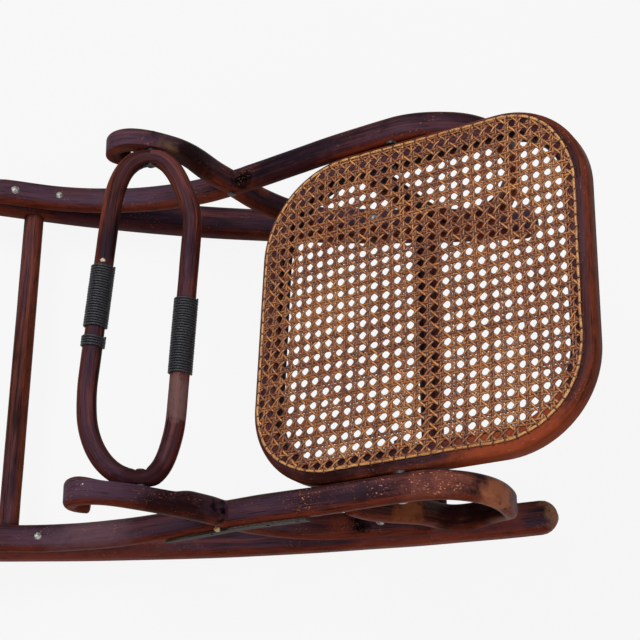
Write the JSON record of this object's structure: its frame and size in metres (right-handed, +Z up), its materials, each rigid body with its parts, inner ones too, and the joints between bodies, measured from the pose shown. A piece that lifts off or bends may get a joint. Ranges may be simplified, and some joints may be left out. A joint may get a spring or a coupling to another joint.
{
  "type": "rocking footstool",
  "caption": "Bentwood rocking footstool with curved runners, crossing scrolled side rods, an oval heel ring and a tilting caned panel.",
  "frame": {"origin": "middle of the footprint, at the height of the soles' lowest line, where the runners touch the floor", "axes": "+X along the runners towards the panel end, +Y across the runners to the left side, +Z up"},
  "size_m": [0.6282, 0.416, 0.3205],
  "materials": {
    "bent_wood": "aged dark mahogany stain, half gloss",
    "turned_wood": "aged dark red-brown stain, half gloss",
    "black_cord": "black waxed cord",
    "cane": "aged golden-brown cane, satin",
    "binder": "pale golden cane, satin",
    "steel": "dull pale grey",
    "dark_iron": "blackened",
    "grey_strip": "grey-green, matt"
  },
  "bodies": {
    "base": {"right_runner": "bent_wood", "left_runner": "bent_wood", "right_arm_rod": "bent_wood", "left_arm_rod": "bent_wood", "right_scroll_rod": "bent_wood", "left_scroll_rod": "bent_wood", "rear_stretcher": "turned_wood", "front_stretcher": "turned_wood", "right_tilt_bolt": "steel", "left_tilt_bolt": "steel", "tilt_washers": "steel", "tilt_nuts": "steel", "right_ring_bolt": "dark_iron", "left_ring_bolt": "dark_iron", "ring_washers": "dark_iron", "ring_nuts": "dark_iron", "foot_screws": "steel", "tail_screws": "steel", "crossing_rivets": "dark_iron", "loop_dowels": "turned_wood", "mending_splint": "grey_strip", "splint_screws": "steel"},
    "panel": {"panel_frame": "bent_wood", "cane_panel": "cane", "binder_cane": "binder"},
    "ring": {"heel_ring": "turned_wood", "front_bar_winding": "black_cord", "rear_bar_winding": "black_cord", "short_winding": "black_cord"}
  },
  "joints": [
    {"name": "panel_tilt", "type": "hinge", "parent": "base", "child": "panel", "pos_m": [0.138, 0, 0.2172], "axis": [0, 1, 0], "range_deg": [-15, 30]},
    {"name": "ring_swivel", "type": "hinge", "parent": "base", "child": "ring", "pos_m": [-0.1, 0, 0.19351], "axis": [0, 0.9992, 0.0389], "range_deg": [-90, 90]}
  ]
}
